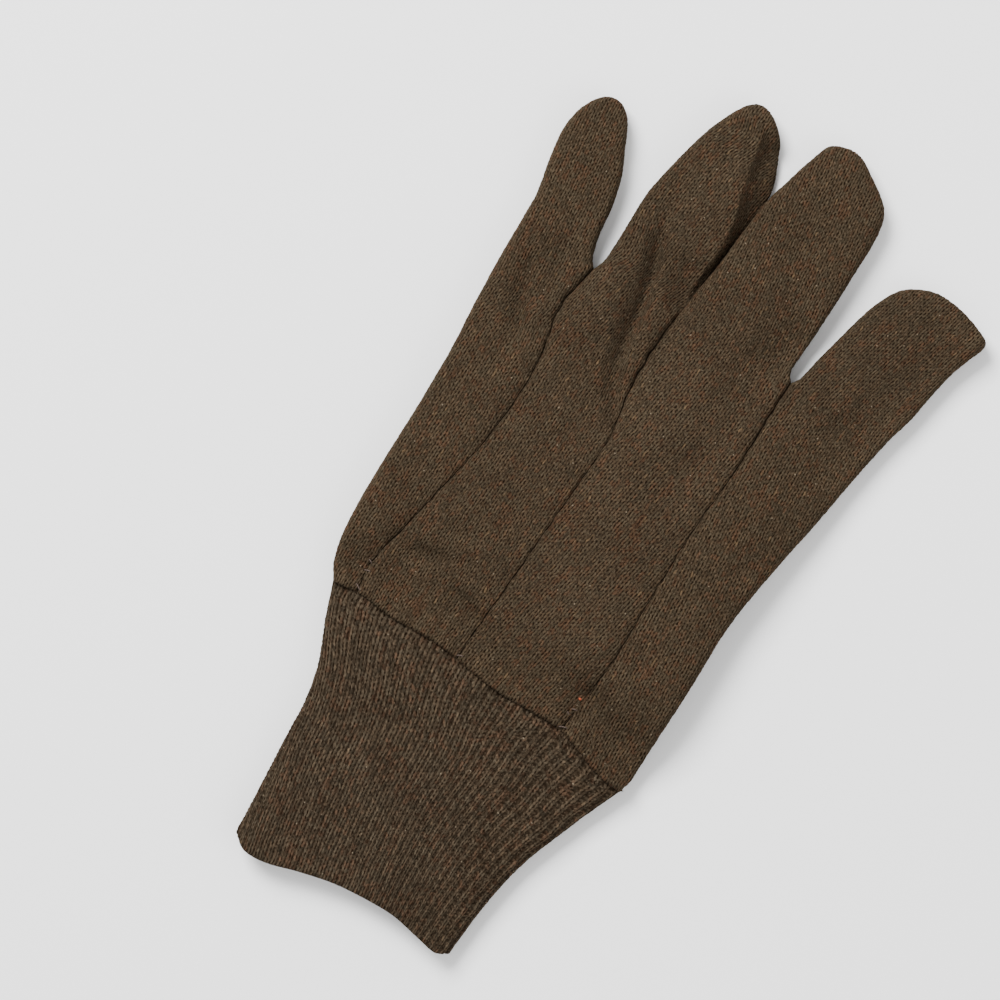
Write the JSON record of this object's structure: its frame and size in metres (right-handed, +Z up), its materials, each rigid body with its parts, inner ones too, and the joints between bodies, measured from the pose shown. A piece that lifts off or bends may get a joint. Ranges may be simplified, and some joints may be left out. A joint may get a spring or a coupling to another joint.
{
  "type": "cotton work glove",
  "caption": "Knit jersey work glove with seamed back, one-piece palm, folded-under thumb and ribbed cuff, lying flat.",
  "frame": {"origin": "on the ground under the middle of the glove's overall box", "axes": "+Y from the cuff to the fingertips, +X from the little finger to the index finger, +Z up out of the back of the hand"},
  "size_m": [0.136, 0.2656, 0.0161],
  "materials": {
    "jersey": "matte brown melange cotton jersey, soft and slightly fuzzy",
    "rib_knit": "matte brown melange cotton rib knit"
  },
  "bodies": {
    "root": {"palm_panel": "jersey", "back_little": "jersey", "back_ring": "jersey", "back_middle": "jersey", "back_index": "jersey", "thumb": "jersey", "knit_cuff": "rib_knit"}
  },
  "joints": []
}
